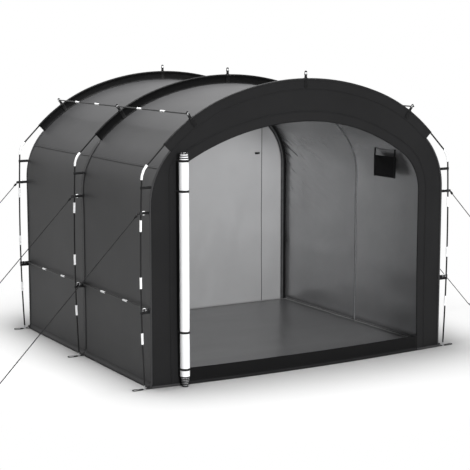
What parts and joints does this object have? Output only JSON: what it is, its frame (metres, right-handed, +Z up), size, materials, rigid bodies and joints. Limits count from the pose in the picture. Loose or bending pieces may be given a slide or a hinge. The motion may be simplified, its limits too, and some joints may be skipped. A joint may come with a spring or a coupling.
{
  "type": "fabric bike shelter tent",
  "caption": "Barrel-arch fabric shelter for bikes on bent outside hoops, with a floor sheet, guy lines and a wide arched doorway whose door is rolled up at the left jamb.",
  "frame": {"origin": "middle of the floor sheet's underside, on the ground, midway between the front and back hoops and between the side walls", "axes": "+Z up, -Y towards the doorway, +X to the right as seen from in front of the doorway"},
  "size_m": [5.5446, 2.5763, 2.365],
  "materials": {
    "shell_fabric": "matte coated weave, silver on the inside",
    "front_fabric": "matte coated weave",
    "sleeve_fabric": "matte weave",
    "lining_fabric": "satin silver coating",
    "floor_fabric": "satin silver coating",
    "door_fabric": "satin silver-white coating",
    "pole": "satin black glass fibre",
    "ferrule": "satin",
    "clip_ring": "moulded",
    "webbing": "ribbed webbing",
    "pocket_fabric": "matte mesh and weave",
    "guy_cord": "braided cord",
    "peg_steel": "galvanised"
  },
  "bodies": {
    "root": {"left_wall_front": "shell_fabric", "left_wall_back": "shell_fabric", "right_wall_front": "shell_fabric", "right_wall_back": "shell_fabric", "roof_front": "shell_fabric", "roof_back": "shell_fabric", "front_left_panel": "front_fabric", "front_right_panel": "front_fabric", "front_fascia": "front_fabric", "front_sleeve": "front_fabric", "middle_sleeve": "sleeve_fabric", "back_sleeve": "sleeve_fabric", "door_sill": "sleeve_fabric", "back_wall": "lining_fabric", "floor_sheet": "floor_fabric", "rolled_door": "door_fabric", "front_crown_pole": "pole", "middle_crown_pole": "pole", "back_crown_pole": "pole", "shoulder_poles": "pole", "front_left_leg": "pole", "front_right_leg": "pole", "middle_left_leg": "pole", "middle_right_leg": "pole", "back_left_leg": "pole", "back_right_leg": "pole", "left_roof_spacer": "pole", "right_roof_spacer": "pole", "left_wall_spacer": "pole", "right_wall_spacer": "pole", "elbow_ferrules": "ferrule", "leg_ferrules": "ferrule", "spacer_ferrules": "ferrule", "clip_rings": "clip_ring", "apex_clips": "webbing", "shoulder_clips": "webbing", "leg_straps": "webbing", "guy_clips": "webbing", "wall_clips": "webbing", "foot_webbing": "webbing", "door_ties": "webbing", "pocket_straps": "webbing", "back_wall_loop": "webbing", "back_seam_band": "webbing", "storage_pocket": "pocket_fabric", "left_guy_lines": "guy_cord", "right_guy_lines": "guy_cord", "foot_pins": "peg_steel", "guy_pegs": "peg_steel"}
  },
  "joints": []
}
